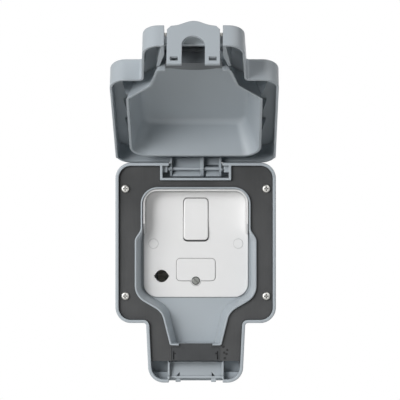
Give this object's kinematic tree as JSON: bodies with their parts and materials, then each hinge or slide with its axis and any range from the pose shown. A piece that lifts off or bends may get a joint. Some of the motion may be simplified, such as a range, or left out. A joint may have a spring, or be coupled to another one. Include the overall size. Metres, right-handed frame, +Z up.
{
  "type": "weatherproof switched fused spur",
  "caption": "Grey surface-mounting weatherproof enclosure with a hinged, latched lid over a white switch and fuse carrier with a flex outlet.",
  "frame": {"origin": "the middle of the four wall fixings, on the back face of the box", "axes": "+Y goes into the wall, +Z is up and +X is to the right of someone who faces it"},
  "size_m": [0.1132, 0.1765, 0.2445],
  "materials": {
    "grey_shell": "light grey, finely grained moulding",
    "mat_rubber": "dark grey, matt, faintly striped",
    "seal_rubber": "dark grey, matt, soft",
    "lid_seal_rubber": "mid grey, matt, soft",
    "white_plate": "white, satin",
    "rear_moulding": "off-white, matt",
    "stainless": "bright, turned",
    "plated_steel": "plated, dull",
    "brass": "machined",
    "nickel_caps": "nickel plated",
    "fuse_ceramic": "white, smooth",
    "pin_plastic": "light grey, smooth"
  },
  "bodies": {
    "base": {"back_box": "grey_shell", "box_gasket": "seal_rubber", "front_frame": "grey_shell", "fixing_inserts": "brass", "sealing_mat": "mat_rubber", "frame_screws": "stainless", "base_cable_seal": "seal_rubber", "faceplate": "white_plate", "screw_caps": "white_plate", "module_screws": "plated_steel", "module_housing": "rear_moulding", "live_supply_terminal": "brass", "neutral_supply_terminal": "brass", "live_load_terminal": "brass", "neutral_load_terminal": "brass", "earth_terminal": "brass", "terminal_screws": "plated_steel", "centre_contacts": "brass", "fixed_contacts": "brass", "fuse_clip_left": "brass", "fuse_clip_right": "brass", "cord_clamp": "rear_moulding", "clamp_screws": "plated_steel"},
    "switch_rocker": {"rocker": "white_plate", "plungers": "rear_moulding", "plunger_springs": "plated_steel"},
    "contact_blades": {"switch_blades": "brass"},
    "fuse_drawer": {"fuse_carrier": "white_plate", "fuse_body": "fuse_ceramic", "fuse_caps": "nickel_caps", "carrier_screw": "plated_steel"},
    "lid": {"lid_shell": "grey_shell", "hinge_pin": "pin_plastic", "lid_cable_seal": "lid_seal_rubber", "latch_pin": "stainless"},
    "latch": {"latch_clip": "grey_shell"}
  },
  "joints": [
    {"name": "lid_hinge", "type": "hinge", "parent": "base", "child": "lid", "pos_m": [0, -0.03985, 0.0524], "axis": [1, 0, 0], "range_deg": [0, 118]},
    {"name": "latch_hinge", "type": "hinge", "parent": "lid", "child": "latch", "pos_m": [0, -0.16096, 0.1369], "axis": [-1, 0, 0], "range_deg": [0, 75]},
    {"name": "rocker_tilt", "type": "hinge", "parent": "base", "child": "switch_rocker", "pos_m": [0, -0.0268, 0.0164], "axis": [1, 0, 0], "range_deg": [0, 9]},
    {"name": "blade_tilt", "type": "hinge", "parent": "base", "child": "contact_blades", "pos_m": [0, -0.0151, 0.0164], "axis": [1, 0, 0], "range_deg": [-10, 0]},
    {"name": "fuse_carrier_slide", "type": "slide", "parent": "base", "child": "fuse_drawer", "axis": [0, -1, 0], "range_m": [0, 0.02]}
  ],
  "couplings": [
    {"joint": "blade_tilt", "follows": "rocker_tilt", "ratio": -1.1}
  ]
}
